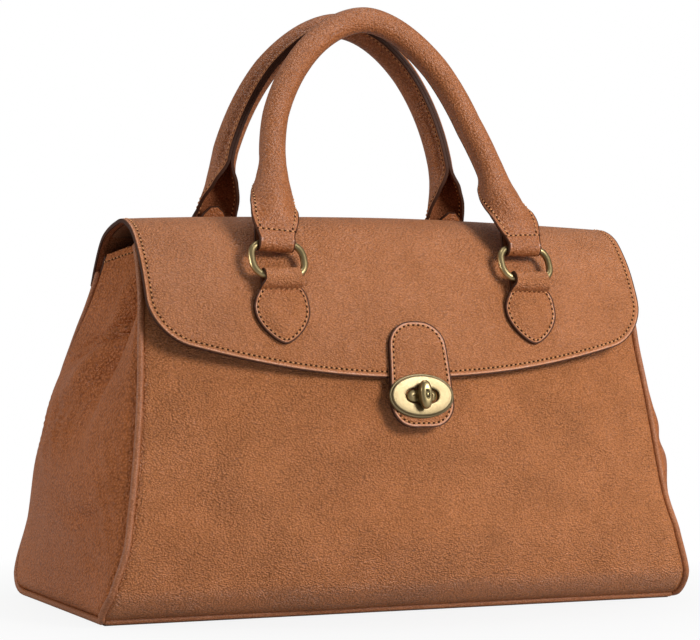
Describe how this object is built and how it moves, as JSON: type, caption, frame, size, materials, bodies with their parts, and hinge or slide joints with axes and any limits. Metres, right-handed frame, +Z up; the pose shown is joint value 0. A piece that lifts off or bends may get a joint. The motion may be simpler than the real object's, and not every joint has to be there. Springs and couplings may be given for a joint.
{
  "type": "leather handbag",
  "caption": "Soft leather handbag with a wide base, a full front flap with a turn lock on a tab, and two rolled handles on oval rings.",
  "frame": {"origin": "middle of the base's flat underside, on the surface the bag stands on", "axes": "+Z up, +X along the bag's width, -Y towards the front with the flap's tab and lock"},
  "size_m": [0.36, 0.2155, 0.3489],
  "materials": {
    "tan_leather": "soft pebbled grain, satin",
    "painted_edge": "smooth folded piping",
    "suede_lining": "rough flesh side",
    "stiff_board": "matte",
    "rope": "twisted cotton",
    "antique_brass": "aged, lightly polished"
  },
  "bodies": {
    "bag": {"front_panel": "tan_leather", "back_panel": "tan_leather", "side_panel_left": "tan_leather", "side_panel_right": "tan_leather", "base_panel": "tan_leather", "base_board": "stiff_board", "base_lining": "suede_lining", "front_lining": "suede_lining", "back_lining": "suede_lining", "side_lining_left": "suede_lining", "side_lining_right": "suede_lining", "inner_pocket": "suede_lining", "piping_left": "painted_edge", "piping_right": "painted_edge", "piping_front": "painted_edge", "piping_back": "painted_edge", "flap_band": "tan_leather", "lock_catch": "antique_brass", "lock_washer": "antique_brass", "back_leaf_left": "tan_leather", "back_leaf_right": "tan_leather"},
    "flap": {"flap": "tan_leather", "flap_lining": "suede_lining", "flap_tab": "tan_leather", "eyelet_plate": "antique_brass", "eyelet_back_plate": "antique_brass", "lock_post": "antique_brass", "front_leaf_left": "tan_leather", "front_leaf_right": "tan_leather"},
    "front_ring_left": {"front_ring_left": "antique_brass"},
    "front_ring_right": {"front_ring_right": "antique_brass"},
    "front_handle": {"front_handle": "tan_leather", "front_handle_core": "rope"},
    "back_ring_left": {"back_ring_left": "antique_brass"},
    "back_ring_right": {"back_ring_right": "antique_brass"},
    "back_handle": {"back_handle": "tan_leather", "back_handle_core": "rope"},
    "lock_knob": {"lock_knob": "antique_brass"}
  },
  "joints": [
    {"name": "flap_open", "type": "hinge", "parent": "bag", "child": "flap", "pos_m": [0, 0.00213, 0.20878], "axis": [-1, 0, 0], "range_deg": [0, 90]},
    {"name": "front_ring_left_swing", "type": "hinge", "parent": "flap", "child": "front_ring_left", "pos_m": [-0.0765, -0.08556, 0.18656], "axis": [1, 0, 0], "range_deg": [0, 67.5]},
    {"name": "front_ring_right_swing", "type": "hinge", "parent": "flap", "child": "front_ring_right", "pos_m": [0.0765, -0.08556, 0.18656], "axis": [1, 0, 0], "range_deg": [0, 67.5]},
    {"name": "front_handle_swing", "type": "hinge", "parent": "front_ring_left", "child": "front_handle", "pos_m": [0, -0.07571, 0.20623], "axis": [1, 0, 0], "range_deg": [0, 130]},
    {"name": "back_ring_left_swing", "type": "hinge", "parent": "bag", "child": "back_ring_left", "pos_m": [-0.0765, 0.03438, 0.1793], "axis": [-1, 0, 0], "range_deg": [0, 18]},
    {"name": "back_ring_right_swing", "type": "hinge", "parent": "bag", "child": "back_ring_right", "pos_m": [0.0765, 0.03438, 0.1793], "axis": [-1, 0, 0], "range_deg": [0, 18]},
    {"name": "back_handle_swing", "type": "hinge", "parent": "back_ring_left", "child": "back_handle", "pos_m": [0, 0.03094, 0.20103], "axis": [-1, 0, 0], "range_deg": [0, 90]},
    {"name": "lock_knob_turn", "type": "hinge", "parent": "flap", "child": "lock_knob", "pos_m": [0, -0.09937, 0.1207], "axis": [0, -0.983, 0.1838], "range_deg": [0, 90]}
  ],
  "couplings": [
    {"joint": "front_ring_left_swing", "follows": "flap_open", "ratio": 0.75},
    {"joint": "front_ring_right_swing", "follows": "flap_open", "ratio": 0.75},
    {"joint": "back_ring_left_swing", "follows": "flap_open", "ratio": 0.2},
    {"joint": "back_ring_right_swing", "follows": "flap_open", "ratio": 0.2}
  ]
}
